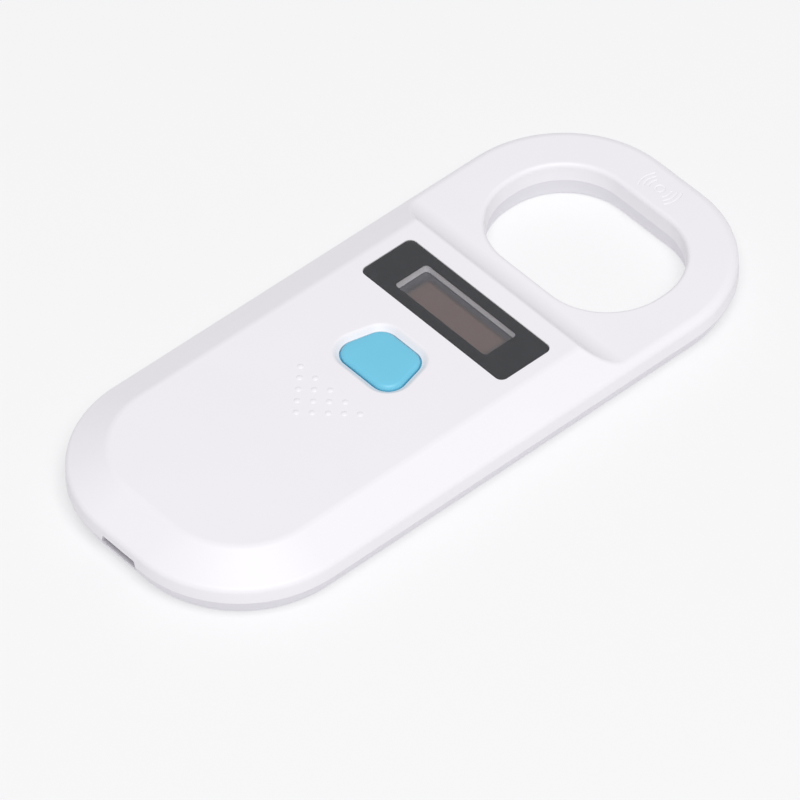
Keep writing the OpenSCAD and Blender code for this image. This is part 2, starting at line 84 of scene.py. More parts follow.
# the camera stands at the near right of the charging port and looks down at 46 degrees
camera = {
    "lens": 382.6,
    "sensor": 36,
    "nearest": 0.05,
    "farthest": 50,
    "place": (900.8, -762.3, 1211.1),
    "right": (0.66177, 0.74940, -0.02155),
    "up": (-0.52807, 0.48634, 0.69617),
    "back": (0.53218, -0.44932, 0.71757),
}


def makeCamera():
    data = bpy.data.cameras.new("camera")
    data.lens = camera["lens"]
    data.sensor_width = camera["sensor"]
    data.clip_start = camera["nearest"]
    data.clip_end = camera["farthest"]
    eye = bpy.data.objects.new("camera", data)
    bpy.context.scene.collection.objects.link(eye)
    turn = Matrix([camera["right"], camera["up"], camera["back"]]).transposed().to_4x4()
    eye.matrix_world = Matrix.Translation(Vector(camera["place"]) * mm) @ turn
    bpy.context.scene.camera = eye


def hexColour(code):
    parts = [int(code[i:i + 2], 16) / 255 for i in (1, 3, 5)]
    return [c / 12.92 if c <= 0.04045 else ((c + 0.055) / 1.055) ** 2.4 for c in parts] + [1]


def addNode(tree, kind, settings, links):  # one node, with its settings and the sockets that feed it
    node = tree.nodes.new(kind)
    for key, value in settings.items():
        if isinstance(key, int) or key in node.inputs:
            node.inputs[key].default_value = value
        else:
            setattr(node, key, value)
    for key, source in links.items():
        tree.links.new(source, node.inputs[key])
    return node


def newMaterial(name, settings):
    material = bpy.data.materials.new(name)
    material.use_nodes = True
    tree = material.node_tree
    shader = tree.nodes["Principled BSDF"]
    for key, value in settings.items():
        shader.inputs[key].default_value = value
    spot = addNode(tree, "ShaderNodeTexCoord", {}, {}).outputs["Object"]
    return material, tree, shader, spot


def mottled(name, dark, light, patch, grain, depth, settings):
    # two close tones in patches, and a fine bump; patch, grain and depth are in millimetres
    material, tree, shader, spot = newMaterial(name, settings)
    cloud = addNode(tree, "ShaderNodeTexNoise", {"Scale": 1 / (patch * mm), "Detail": 3.0}, {"Vector": spot})
    tones = {"Color1": hexColour(dark), "Color2": hexColour(light)}
    tone = addNode(tree, "ShaderNodeMixRGB", tones, {"Fac": cloud.outputs["Fac"]})
    tree.links.new(tone.outputs["Color"], shader.inputs["Base Color"])
    tooth = addNode(tree, "ShaderNodeTexNoise", {"Scale": 1 / (grain * mm), "Detail": 2.0}, {"Vector": spot})
    bump = addNode(tree, "ShaderNodeBump", {"Distance": depth * mm}, {"Height": tooth.outputs["Fac"]})
    tree.links.new(bump.outputs["Normal"], shader.inputs["Normal"])
    rough = settings["Roughness"]
    spread = {"To Min": rough - 0.04, "To Max": rough + 0.06}
    shine = addNode(tree, "ShaderNodeMapRange", spread, {"Value": tooth.outputs["Fac"]})
    tree.links.new(shine.outputs["Result"], shader.inputs["Roughness"])
    return material


# ABS from a spark-eroded mould: a fine even grain that spreads the highlight to a satin
absShine = {"Roughness": 0.45, "IOR": 1.53}
whiteAbs = mottled("whiteAbs", "#eeecf0", "#f1eff3", 18, 0.35, 0.005, absShine)
# the same resin, a shade greyer: painted shade for the rear shell, whose sides lean downwards away from the
# light
shadedWhiteAbs = mottled("shadedWhiteAbs", "#e2e0e6", "#e5e3e9", 18, 0.35, 0.005, absShine)
# the same resin with a sky-blue masterbatch
blueAbs = mottled("blueAbs", "#6fc5e1", "#75cae6", 9, 0.35, 0.004, {"Roughness": 0.42, "IOR": 1.53})
# screen ink under the film: an even charcoal
screenInk = mottled("screenInk", "#26282d", "#292b30", 6, 0.4, 0.001, {"Roughness": 0.5})
# closed-cell foam: matt black with open pores at its cut faces
cellFoam = mottled("cellFoam", "#0d0d0e", "#1a1a1c", 0.6, 0.5, 0.08, {"Roughness": 0.9})
# double-sided acrylic tape, dull black along its cut edge
acrylicTape = mottled("acrylicTape", "#101011", "#17171a", 1.5, 0.4, 0.01, {"Roughness": 0.6})
# polyimide film: clear amber over copper, with a soft sheen
polyimideFilm = mottled("polyimideFilm", "#a8661c", "#b97523", 3, 1.2, 0.004, {"Roughness": 0.3, "IOR": 1.7})
# polyimide adhesive tape: the same film, paler and glossier
polyimideTape = mottled("polyimideTape", "#c08a24", "#cf9a33", 4, 1.5, 0.006, {"Roughness": 0.22, "IOR": 1.7})
# tin plate: soft grey metal with rolling haze
tinPlate = mottled("tinPlate", "#c2c2c4", "#d4d4d6", 1.6, 0.5, 0.004, {"Roughness": 0.32, "Metallic": 1.0})
# glass-filled nylon: dull near-black with a fibrous tooth
blackNylon = mottled("blackNylon", "#121213", "#1b1b1d", 1.2, 0.3, 0.008, {"Roughness": 0.55})
# natural nylon: milky cream with a soft surface
naturalNylon = mottled("naturalNylon", "#e4ddc8", "#ece6d4", 2.5, 0.4, 0.004, {"Roughness": 0.45})
# solder resist over copper: glossy green, lighter where a copper pour lies under it
solderResist = mottled("solderResist", "#0b4023", "#12592f", 3.5, 0.8, 0.01, {"Roughness": 0.28, "IOR": 1.52})
# transfer-moulded epoxy: flat charcoal with a powdery tooth
mouldedEpoxy = mottled("mouldedEpoxy", "#1b1b1d", "#232326", 1.0, 0.15, 0.01, {"Roughness": 0.6})
# nickel-plated can: warm grey metal
nickelCan = mottled("nickelCan", "#b1aa9b", "#c0b9aa", 1.5, 0.4, 0.003, {"Roughness": 0.25, "Metallic": 1.0})
# sintered ferrite: dark grey, slightly sparkling
sinteredFerrite = mottled("sinteredFerrite", "#232325", "#34343a", 0.4, 0.25, 0.012, {"Roughness": 0.5})
# fired barium titanate: tan, with a waxy surface
firedTitanate = mottled("firedTitanate", "#a89470", "#b8a684", 0.8, 0.3, 0.004, {"Roughness": 0.4})
# laminated aluminium foil: satin metal with soft creases
foilShine = {"Roughness": 0.36, "Metallic": 0.9}
laminatedFoil = mottled("laminatedFoil", "#b4b6ba", "#c8cace", 7, 4, 0.06, foilShine)
# silicone insulation: rubbery, a little dusty
redSilicone = mottled("redSilicone", "#a3150f", "#b21c14", 1.5, 0.4, 0.004, {"Roughness": 0.5})
blackSilicone = mottled("blackSilicone", "#141415", "#1d1d1f", 1.5, 0.4, 0.004, {"Roughness": 0.5})
# zinc-plated steel: cool grey with a faint blue passivation
zincSteel = mottled("zincSteel", "#74767c", "#8d8f95", 0.9, 0.3, 0.004, {"Roughness": 0.3, "Metallic": 1.0})
# polyester label stock, unprinted: smooth silver grey
labelFilm = mottled("labelFilm", "#c6c8cd", "#d0d2d7", 12, 0.5, 0.002, {"Roughness": 0.38})


def enamelledCopperMaterial():  # layers of fine winding wire, drawn as coarser ridges so that they show
    ridge = 0.4
    depth = 0.12
    material, tree, shader, spot = newMaterial("enamelledCopper", {"Roughness": 0.3, "Metallic": 0.85})
    bands = {"bands_direction": "Z", "Scale": math.pi / (10 * ridge * mm), "Distortion": 0.4}
    wires = addNode(tree, "ShaderNodeTexWave", bands, {"Vector": spot})
    tones = {"Color1": hexColour("#6e3318"), "Color2": hexColour("#b8672f")}
    tone = addNode(tree, "ShaderNodeMixRGB", tones, {"Fac": wires.outputs["Fac"]})
    bump = addNode(tree, "ShaderNodeBump", {"Distance": depth * mm}, {"Height": wires.outputs["Fac"]})
    tree.links.new(tone.outputs["Color"], shader.inputs["Base Color"])
    tree.links.new(bump.outputs["Normal"], shader.inputs["Normal"])
    return material


def polycarbonateFilmMaterial():  # hard-coated clear film: shows by a soft grey reflection and its cut edge
    patch = 9
    settings = {"Roughness": 0.05, "IOR": 1.58, "Transmission Weight": 1.0}
    material, tree, shader, spot = newMaterial("polycarbonateFilm", settings)
    coat = addNode(tree, "ShaderNodeTexNoise", {"Scale": 1 / (patch * mm), "Detail": 4.0}, {"Vector": spot})
    haze = {"To Min": 0.03, "To Max": 0.06}
    shine = addNode(tree, "ShaderNodeMapRange", haze, {"Value": coat.outputs["Fac"]})
    tree.links.new(shine.outputs["Result"], shader.inputs["Roughness"])
    return material


# the display glass outside the painted shade of the well: its middle along each axis, its half size and how
# softly the painted shade begins
shadeFreeArea = [
    {"axis": "X", "middle": lensMid.x, "half": 11.4, "blur": 1.1},
    {"axis": "Y", "middle": lensMid.y, "half": 3.0, "blur": 0.8},
]


def insideArea(tree, spot, side):  # 1 inside the area along one axis and 0 outside it
    middle = {"operation": "SUBTRACT", 1: side["middle"] * mm}
    shift = addNode(tree, "ShaderNodeMath", middle, {0: spot.outputs[side["axis"]]})
    away = addNode(tree, "ShaderNodeMath", {"operation": "ABSOLUTE"}, {0: shift.outputs[0]})
    fade = {
        "From Min": (side["half"] + side["blur"]) * mm,
        "From Max": (side["half"] - side["blur"]) * mm,
        "interpolation_type": "SMOOTHSTEP",
    }
    return addNode(tree, "ShaderNodeMapRange", fade, {"Value": away.outputs[0]}).outputs[0]


def displayGlassMaterial():
    # unlit organic display: the brown mirror of its metal cathode, and a darker grey border round it that is
    # painted shade from the well's walls
    settings = {"Roughness": 0.2, "Metallic": 0.55, "IOR": 1.52}
    material, tree, shader, spot = newMaterial("displayGlass", settings)
    split = addNode(tree, "ShaderNodeSeparateXYZ", {}, {"Vector": spot})
    across, along = [insideArea(tree, split, side) for side in shadeFreeArea]
    both = addNode(tree, "ShaderNodeMath", {"operation": "MULTIPLY"}, {0: across, 1: along})
    # Color1 is the painted shade near the well's walls, Color2 the glass's own brown
    tones = {"Color1": hexColour("#6e6e74"), "Color2": hexColour("#92807d")}
    tone = addNode(tree, "ShaderNodeMixRGB", tones, {"Fac": both.outputs[0]})
    tree.links.new(tone.outputs["Color"], shader.inputs["Base Color"])
    return material


enamelledCopper = enamelledCopperMaterial()
displayGlass = displayGlassMaterial()
polycarbonateFilm = polycarbonateFilmMaterial()
print("materials")

studio = {
    "floorSize": 8.0,
    "floorZ": -0.0001,
    "floorGlow": 0.455,
    "floorColour": "#b4b4b5",
    "skyColour": "#f9f8fa",
    "skyStrength": 0.485,
    "keyPlace": (1.1, -0.62, 2.5),
    "keySize": 1.8,
    "keyPower": 54.5,
}


def makeStudio():
    bpy.ops.object.select_all(action="DESELECT")
    bpy.ops.mesh.primitive_plane_add(size=studio["floorSize"], location=(0, 0, studio["floorZ"]))
    floor = bpy.context.active_object
    floor.name = "floor"
    paint = {
        "Base Color": hexColour(studio["floorColour"]),
        "Roughness": 0.9,
        "Emission Color": hexColour("#ffffff"),
        "Emission Strength": studio["floorGlow"],
    }
    floor.data.materials.append(newMaterial("paleFloor", paint)[0])
    world = bpy.data.worlds.new("studio")
    bpy.context.scene.world = world
    world.use_nodes = True
    sky = world.node_tree.nodes["Background"]
    sky.inputs["Color"].default_value = hexColour(studio["skyColour"])
    sky.inputs["Strength"].default_value = studio["skyStrength"]
    lamp = bpy.data.lights.new("keyLight", "AREA")
    lamp.size = studio["keySize"]
    lamp.energy = studio["keyPower"]
    light = bpy.data.objects.new("keyLight", lamp)
    bpy.context.scene.collection.objects.link(light)
    light.location = studio["keyPlace"]
    light.rotation_euler = Vector(studio["keyPlace"]).to_track_quat("Z", "Y").to_euler()
    bpy.context.scene.view_settings.view_transform = "Standard"


makeCamera()
makeStudio()
print("camera, floor and lights")


# modelling helpers, all in millimetres

def activate(piece):
    bpy.ops.object.select_all(action="DESELECT")
    piece.select_set(True)
    bpy.context.view_layer.objects.active = piece


def edit(piece, kind):  # into edit mode with nothing selected
    activate(piece)
    bpy.ops.object.mode_set(mode="EDIT")
    bpy.ops.mesh.select_mode(type=kind)
    bpy.ops.mesh.select_all(action="DESELECT")
    return bmesh.from_edit_mesh(piece.data)


def pickFaces(piece, test):
    shape = edit(piece, "FACE")
    for face in shape.faces:
        if test(face.calc_center_median(), face.normal):
            face.select_set(True)
    bmesh.update_edit_mesh(piece.data)


def pickEdges(piece, test):
    shape = edit(piece, "EDGE")
    for edge in shape.edges:
        if test(edge):
            edge.select_set(True)
    bmesh.update_edit_mesh(piece.data)


def leaveEdit():
    bpy.ops.object.mode_set(mode="OBJECT")


def applyAll():
    bpy.ops.object.transform_apply(location=True, rotation=True, scale=True)


def block(name, low, high):  # a box from corner to corner
    bpy.ops.object.select_all(action="DESELECT")
    mid = (Vector(low) + Vector(high)) / 2
    bpy.ops.mesh.primitive_cube_add(size=1, location=mid)
    piece = bpy.context.active_object
    piece.name = name
    piece.scale = Vector(high) - Vector(low)
    applyAll()
    return piece


def cylinderAt(name, x, y, lowZ, highZ, radius, sides=48):
    bpy.ops.object.select_all(action="DESELECT")
    place = (x, y, (lowZ + highZ) / 2)
    bpy.ops.mesh.primitive_cylinder_add(vertices=sides, radius=radius, depth=highZ - lowZ, location=place)
    piece = bpy.context.active_object
    piece.name = name
    applyAll()
    return piece


def bevel(width, segments):
    bpy.ops.mesh.bevel(offset=width, offset_type="OFFSET", segments=segments, affect="EDGES")


def isUpright(edge):
    a, b = (v.co for v in edge.verts)
    return abs(a.x - b.x) < close and abs(a.y - b.y) < close


def isLengthwise(edge):
    return abs(edge.verts[0].co.y - edge.verts[1].co.y) > 1


def roundedBlock(name, mid, width, length, radius, lowZ, highZ, steps=12):
    low = (mid[0] - width / 2, mid[1] - length / 2, lowZ)
    high = (mid[0] + width / 2, mid[1] + length / 2, highZ)
    piece = block(name, low, high)
    pickEdges(piece, isUpright)
    bevel(radius, steps)
    leaveEdit()
    return piece


def pickTop(piece):
    pickFaces(piece, lambda mid, normal: normal.z > facing)


def pickBottom(piece):
    pickFaces(piece, lambda mid, normal: normal.z < -facing)


def insetAndShift(steps):  # each step narrows the chosen face, or extrudes it straight, then moves it along Z
    for inward, shift in steps:
        if inward > 0:
            bpy.ops.mesh.inset(thickness=inward, depth=0)
        else:
            bpy.ops.mesh.extrude_region_move()
        bpy.ops.transform.translate(value=(0, 0, shift))


def arcSteps(radius, start, end, count):  # inward and upward steps along an arc between two angles in degrees
    at = [math.radians(start + (end - start) * i / count) for i in range(count + 1)]
    pairs = zip(at, at[1:])
    return [(radius * (math.cos(a) - math.cos(b)), radius * (math.sin(b) - math.sin(a))) for a, b in pairs]


def downwards(steps):
    return [(inward, -shift) for inward, shift in steps]


def softEdges(piece, width, segments, test):
    pickEdges(piece, test)
    bevel(width, segments)
    leaveEdit()


def level(edge, z):  # the edge lies at that height
    return all(abs(v.co.z - z) < close for v in edge.verts)


def foldOver(edge, degrees):
    return len(edge.link_faces) == 2 and edge.calc_face_angle(0) > math.radians(degrees)


def combine(piece, tool, operation):
    activate(piece)
    cut = piece.modifiers.new("cut", "BOOLEAN")
    cut.solver = "EXACT"
    cut.operation = operation
    cut.object = tool
    bpy.ops.object.modifier_apply(modifier=cut.name)
    bpy.data.objects.remove(tool, do_unlink=True)


def cutAway(piece, tool):
    combine(piece, tool, "DIFFERENCE")


def addOn(piece, tool):
    combine(piece, tool, "UNION")


def joinAll(pieces, name):
    bpy.ops.object.select_all(action="DESELECT")
    for piece in pieces:
        piece.select_set(True)
    bpy.context.view_layer.objects.active = pieces[0]
    bpy.ops.object.join()
    pieces[0].name = name
    return pieces[0]


def finishPiece(piece, material, body, nodes=(), smooth=30):
    piece.scale = (mm, mm, mm)
    activate(piece)
    applyAll()
    bpy.ops.object.shade_smooth_by_angle(angle=math.radians(smooth))
    even = piece.modifiers.new("even", "WEIGHTED_NORMAL")
    even.keep_sharp = True
    bpy.ops.object.modifier_apply(modifier=even.name)
    piece.data.materials.clear()
    piece.data.materials.append(material)
    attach(piece, body)
    if nodes:
        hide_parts(*nodes)
    print("made", piece.name, len(piece.data.polygons), "faces")
    return piece


casing = {
    "width": rearHigh.x - rearLow.x,
    "length": rearHigh.y - rearLow.y,
    "topZ": lensHigh.z,
    "seamZ": frontLow.z,
    "cornerRadius": 26.5,
    "cornerSteps": 40,
    "draft": 0.1,
    "slopeWidth": 8.55,  # from the outline to the flat top
    "slopeAngle": 25,
    "sideStart": 0.2,  # the first upright stretch over the seam
    "rimRadius": 1.4,
    "rimSteps": 6,
    "crestWidth": 0.7,  # how much of the flat top's edge is rounded off
    "crestSteps": 5,
    "wall": 1.8,
    "floorZ": 1.5,
    "rearLean": 24,  # how far the rear shell's sides lean inwards, in degrees
    "rearStart": 0.12,  # the first upright stretch under the seam
    "rearEdge": 1.6,
    "rearEdgeSteps": 7,
    "seamSoft": 0.06,
    "tongue": 0.75,
    "tonguePlay": 0.08,
    "tongueHeight": 1.2,
    "postRadius": 2.8,
    "boardPostRadius": 2,
    "postInto": 0.2,  # how far a post or a well reaches into the roof
    "insideUnder": 1,  # how far under the seam the cut for the room starts
    "rebateUnder": 1.5,
}
casing["rearWall"] = casing["wall"] / math.cos(math.radians(casing["rearLean"]))

# where the cutting pieces end, clear of the casing, and how far a last straight step runs on
clear = {"above": 20, "below": -5, "portEnd": -90, "headEnd": 120, "side": 60, "past": 4}

head = {
    "topZ": 8.6,
    "stepRadius": 7.2,
    "stepSteps": 24,
    "stepGap": 2.1,
    "stepEdge": 0.5,
    "stepEdgeSteps": 4,
    "crestAngle": 12,
    "crestBack": 0.05,
    "crestSlant": 0.001,
    "coilReach": 4.7,  # from the finger hole's edge to the outside of the coil
    "holeRadius": 14.8,
    "holeSteps": 32,
    "lipRadius": 1.0,
    "lipSteps": 8,
    "lipDraft": 0.24,
    "lowLipRadius": 0.8,
    "lowLipSteps": 6,
    "lowLipDraft": 0.5,
    "wall": 1.6,
    "holeWall": 1.5,
}
head["holeWidth"] = coilHigh.x - coilLow.x - 2 * head["coilReach"]
head["holeLength"] = coilHigh.y - coilLow.y - 2 * head["coilReach"]
head["footY"] = coilMid.y - head["holeLength"] / 2 - head["stepGap"]


def casingBlock(name, inward, lowZ, highZ):  # the casing's outline, made smaller all round
    width = casing["width"] - 2 * inward
    length = casing["length"] - 2 * inward
    radius = casing["cornerRadius"] - inward
    return roundedBlock(name, (0, 0), width, length, radius, lowZ, highZ, casing["cornerSteps"])


def holeBlock(name, grown, lowZ, highZ):  # the finger hole's outline, made larger all round
    width = head["holeWidth"] + 2 * grown
    length = head["holeLength"] + 2 * grown
    radius = head["holeRadius"] + grown
    return roundedBlock(name, (0, coilMid.y), width, length, radius, lowZ, highZ, head["holeSteps"])


def frontBlank():  # from the seam up: the side, the rim's arc, the slope and the flat top
    angle = math.radians(casing["slopeAngle"])
    radius = casing["rimRadius"]
    start = casing["sideStart"]
    run = casing["slopeWidth"] - casing["draft"] - radius * (1 - math.sin(angle))
    rimZ = casing["topZ"] - run * math.tan(angle) - radius * math.cos(angle)
    piece = casingBlock("frontShell", 0, casing["seamZ"], casing["seamZ"] + start)
    softEdges(piece, casing["seamSoft"], 2, lambda e: level(e, casing["seamZ"]))
    pickTop(piece)
    insetAndShift([(casing["draft"], rimZ - casing["seamZ"] - start)])
    insetAndShift(arcSteps(radius, 0, 90 - casing["slopeAngle"], casing["rimSteps"]))
    insetAndShift([(run, run * math.tan(angle))])
    leaveEdit()
    softEdges(piece, casing["crestWidth"], casing["crestSteps"], lambda e: level(e, casing["topZ"]))
    return piece


def aboveHead(name, back, down):  # what the step and the head's plane take away
    topZ = head["topZ"] - down
    startY = head["footY"] - back - head["stepRadius"]
    far = (clear["side"], clear["headEnd"], topZ + clear["above"])
    piece = block(name, (-clear["side"], startY, topZ), far)

    def atFoot(e):
        return level(e, topZ) and all(abs(v.co.y - startY) < close for v in e.verts)

    softEdges(piece, head["stepRadius"], head["stepSteps"], atFoot)
    return piece


def frontInside():  # the room under the slope, with the rebate that takes the rear shell's tongue
    angle = math.radians(casing["slopeAngle"])
    run = casing["slopeWidth"] - casing["wall"] + casing["wall"] * math.tan(angle / 2)
    roof = casing["topZ"] - casing["wall"]
    roomTop = roof - run * math.tan(angle)
    piece = casingBlock("inside", casing["wall"], casing["seamZ"] - casing["insideUnder"], roomTop)
    pickTop(piece)
    insetAndShift([(run, run * math.tan(angle))])
    leaveEdit()
    cutAway(piece, aboveHead("innerStep", head["wall"], head["wall"]))
    rebate = casing["wall"] - casing["tongue"] - casing["tonguePlay"]
    rebateTop = casing["seamZ"] + casing["tongueHeight"] + casing["tonguePlay"]
    addOn(piece, casingBlock("rebate", rebate, casing["seamZ"] - casing["rebateUnder"], rebateTop))
    cutAway(piece, holeBlock("holeWall", head["holeWall"], clear["below"], clear["above"]))
    return piece


def fingerHole():  # a round lip at the top, then a slightly drafted wall
    drop = head["topZ"] - head["lipRadius"] - casing["seamZ"]
    piece = holeBlock("fingerHole", head["lipRadius"] + head["lipDraft"], head["topZ"], clear["above"])
    pickBottom(piece)
    insetAndShift(arcSteps(head["lipRadius"], 90, 180, head["lipSteps"]))
    insetAndShift([(head["lipDraft"], -drop), (0, -clear["past"])])
    leaveEdit()
    return piece


def fingerHoleBelow():  # the same from the underside, with the other shell's lip and draft
    grown = head["lowLipRadius"] + head["lowLipDraft"]
    piece = holeBlock("fingerHoleBelow", grown, clear["below"], 0)
    pickTop(piece)
    insetAndShift(downwards(arcSteps(head["lowLipRadius"], 90, 180, head["lowLipSteps"])))
    insetAndShift([(head["lowLipDraft"], casing["seamZ"] - head["lowLipRadius"]), (0, clear["past"])])
    leaveEdit()
    return piece


# the push key, its opening and the dish round it
key = {
    "flange": 0.9,
    "flangeHeight": 0.8,
    "narrow": 12.0,
    "wide": 18.1,
    "radius": 3.6,
    "play": 0.35,
    "dishWidth": 1.6,
    "dishDepth": 1.0,
    "dishSteps": 9,
    "dishTurn": 0.85,  # the part of the full curve that the dish goes through
    "edgeRadius": 1.0,
    "edgeSteps": 9,
    "edgeTurn": 82,
    "crown": [(0.7, 0.06), (0.8, 0.05), (0.9, 0.03)],  # the barely rounded top, in steps inwards and up
    "crownDrop": 0.08,
    "cornerSides": 96,
    "wallUnder": 1.4,
    "hollow": 1.3,
    "stemRadius": 2,
    "stemGap": 0.03,
}
key["length"] = keyHigh.y - keyLow.y - 2 * key["flange"]
key["lean"] = math.atan2(key["wide"] - key["narrow"], 2 * key["length"])


def keyBlock(name, grown, lowZ, highZ):  # the key's outline, its narrow end towards the display
    lean = key["lean"]
    posts = []
    for side, width in ((-1, key["wide"]), (1, key["narrow"])):
        x = width / 2 - key["radius"] * (1 - side * math.sin(lean)) / math.cos(lean)
        y = keyMid.y + side * (key["length"] / 2 - key["radius"])
        for place in (x, -x):
            posts.append(cylinderAt("post", place, y, lowZ, highZ, key["radius"] + grown, key["cornerSides"]))
    piece = joinAll(posts, name)
    edit(piece, "FACE")
    bpy.ops.mesh.select_all(action="SELECT")
    bpy.ops.mesh.convex_hull(use_existing_faces=False)
    bpy.ops.mesh.select_all(action="SELECT")
    bpy.ops.mesh.dissolve_limited(angle_limit=math.radians(0.5))
    leaveEdit()
    return piece


def keyOpening():  # the dish sinks in a soft curve, then the hole goes straight down
    topZ = casing["topZ"] + clear["past"]
    piece = keyBlock("keyOpening", key["dishWidth"] + key["play"], casing["topZ"], topZ)
    count = key["dishSteps"]
    turnAt = [0.5 * math.pi * key["dishTurn"] * i / count for i in range(count + 1)]
    depthAt = [key["dishDepth"] * (math.sin(turn) / math.sin(turnAt[-1])) ** 2 for turn in turnAt]
    pickBottom(piece)
    insetAndShift([(key["dishWidth"] / count, a - b) for a, b in zip(depthAt, depthAt[1:])])
    insetAndShift([(0, -clear["past"])])
    leaveEdit()
    return piece


def makeKey():
    cap = keyBlock("keyCap", key["flange"], keyLow.z, keyLow.z + key["flangeHeight"])
    wallTop = casing["topZ"] - key["edgeRadius"] - key["crownDrop"]
    pickTop(cap)
    insetAndShift([(key["flange"], 0), (0, wallTop - keyLow.z - key["flangeHeight"])])
    insetAndShift(arcSteps(key["edgeRadius"], 0, key["edgeTurn"], key["edgeSteps"]))
    insetAndShift(key["crown"])
    leaveEdit()
    pickBottom(cap)
    insetAndShift([(key["flange"] + key["wallUnder"], 0), (0, key["hollow"])])
    leaveEdit()
    stemTop = casing["topZ"] - key["edgeRadius"]
    addOn(cap, cylinderAt("stem", 0, keyMid.y, plungerHigh.z + key["stemGap"], stemTop, key["stemRadius"]))
    return finishPiece(cap, blueAbs, "key", ["button_cap"])


# the charging port, its socket and its contacts
port = {
    "lowWidth": 10.5,
    "topWidth": 9.5,
    "lowZ": socketLow.z + 0.25,
    "topZ": socketHigh.z + 0.15,
    "depth": 2.6,
    "round": 0.4,
    "roundSteps": 5,
    "plate": 0.25,
    "fold": 0.3,  # the outside radius of the shell's folds
    "foldSteps": 4,
    "foldAngle": 20,
    "tongueEdge": 0.12,
    "sideHeight": 1.4,
    "topShare": 0.81,
    "back": 1.0,
    "contacts": 5,
    "contactPitch": 0.65,
    "contactWidth": 0.4,
    "contactHeight": 0.06,
    "contactEdge": 0.03,
    "contactStart": 0.3,
}


def portOpening():
    half = port["lowWidth"] / 2
    inner = (half, socketLow.y + port["depth"], port["topZ"])
    piece = block("portOpening", (-half, clear["portEnd"], port["lowZ"]), inner)
    pickTop(piece)
    bpy.ops.transform.resize(value=(port["topWidth"] / port["lowWidth"], 1, 1))
    leaveEdit()
    softEdges(piece, port["round"], port["roundSteps"], isLengthwise)
    return piece


def makeSocket():  # a folded tin shell with sloped shoulders, open at the front
    shell = block("usbSocket", socketLow, (socketHigh.x, socketHigh.y, socketLow.z + port["sideHeight"]))
    pickTop(shell)
    insetAndShift([(0, socketHigh.z - socketLow.z - port["sideHeight"])])
    bpy.ops.transform.resize(value=(port["topShare"], 1, 1))
    leaveEdit()

    def onFold(e):
        return isLengthwise(e) and foldOver(e, port["foldAngle"])

    softEdges(shell, port["fold"], port["foldSteps"], onFold)
    pickFaces(shell, lambda mid, normal: normal.y < -facing)
    bpy.ops.mesh.inset(thickness=port["plate"], depth=0)
    bpy.ops.mesh.extrude_region_move()
    bpy.ops.transform.translate(value=(0, socketHigh.y - socketLow.y - port["back"], 0))
    leaveEdit()
    finishPiece(shell, tinPlate, "casing", ["usb_socket"])
    tongue = block("usbTongue", tongueLow, tongueHigh)
    softEdges(tongue, port["tongueEdge"], 2, lambda e: level(e, tongueHigh.z) or level(e, tongueLow.z))
    finishPiece(tongue, blackNylon, "casing", ["usb_tongue"])
    strips = []
    for i in range(port["contacts"]):
        x = (i - (port["contacts"] - 1) / 2) * port["contactPitch"]
        half = port["contactWidth"] / 2
        low = (x - half, tongueLow.y + port["contactStart"], tongueLow.z - port["contactHeight"])
        high = (x + half, tongueHigh.y, tongueLow.z + overlap)
        strip = block("contact", low, high)
        softEdges(strip, port["contactEdge"], 2, lambda e: level(e, low[2]))
        strips.append(strip)
    finishPiece(joinAll(strips, "usbContacts"), tinPlate, "casing")


# the grip dots: low domes in a triangle that points to the charging port
dots = {
    "rows": 5,
    "pitch": 4.47,
    "gap": 7.71,
    "diameter": 1.4,
    "rise": frontHigh.z - lensHigh.z,
    "segments": 24,
    "rings": 32,
}


def gripDots():
    rise = dots["rise"]
    radius = ((dots["diameter"] / 2) ** 2 + rise ** 2) / (2 * rise)
    firstY = keyMid.y - key["length"] / 2 - dots["gap"]
    z = casing["topZ"] + rise - radius
    domes = []
    for row in range(dots["rows"]):
        for i in range(dots["rows"] - row):
            x = (i - (dots["rows"] - 1 - row) / 2) * dots["pitch"]
            place = (x, firstY - row * dots["pitch"] / 2, z)
            bpy.ops.object.select_all(action="DESELECT")
            bpy.ops.mesh.primitive_uv_sphere_add(
                segments=dots["segments"], ring_count=dots["rings"], radius=radius, location=place)
            domes.append(bpy.context.active_object)
    return joinAll(domes, "gripDots")


# the engraved waves on the head: a small ring with three arcs on each side
mark = {
    "fromEdge": 6.1,
    "radii": (2.5, 3.55, 4.6),
    "ring": 0.95,
    "ringSides": 32,
    "angle": 64,
    "arcSteps": 12,
    "line": 0.42,
    "lineSides": 12,
    "above": 0.29,
}


def waveRing(middle):
    bpy.ops.object.select_all(action="DESELECT")
    bpy.ops.mesh.primitive_torus_add(
        major_radius=mark["ring"], minor_radius=mark["line"],
        major_segments=mark["ringSides"], minor_segments=mark["lineSides"], location=middle)
    return bpy.context.active_object


def waveArc(middle, radius, start):  # a round line, spun through the mark's angle
    place = middle + radius * Vector((math.cos(start), math.sin(start), 0))
    bpy.ops.object.select_all(action="DESELECT")
    bpy.ops.mesh.primitive_circle_add(
        vertices=mark["lineSides"], radius=mark["line"], fill_type="NGON",
        rotation=(math.pi / 2, 0, start), location=place)
    arc = bpy.context.active_object
    applyAll()
    bpy.ops.object.mode_set(mode="EDIT")
    bpy.ops.mesh.select_all(action="SELECT")
    turn = math.radians(mark["angle"])
    bpy.ops.mesh.spin(steps=mark["arcSteps"], angle=turn, center=middle, axis=(0, 0, 1))
    bpy.ops.mesh.select_all(action="SELECT")
    bpy.ops.mesh.normals_make_consistent(inside=False)
    leaveEdit()
    return arc


def waveMark():
    middle = Vector((0, casing["length"] / 2 - mark["fromEdge"], head["topZ"] + mark["above"]))
    lines = [waveRing(middle)]
    for side in (0, math.pi):
        for radius in mark["radii"]:
            lines.append(waveArc(middle, radius, side + math.radians(mark["angle"] / 2)))
    return joinAll(lines, "waveMark")


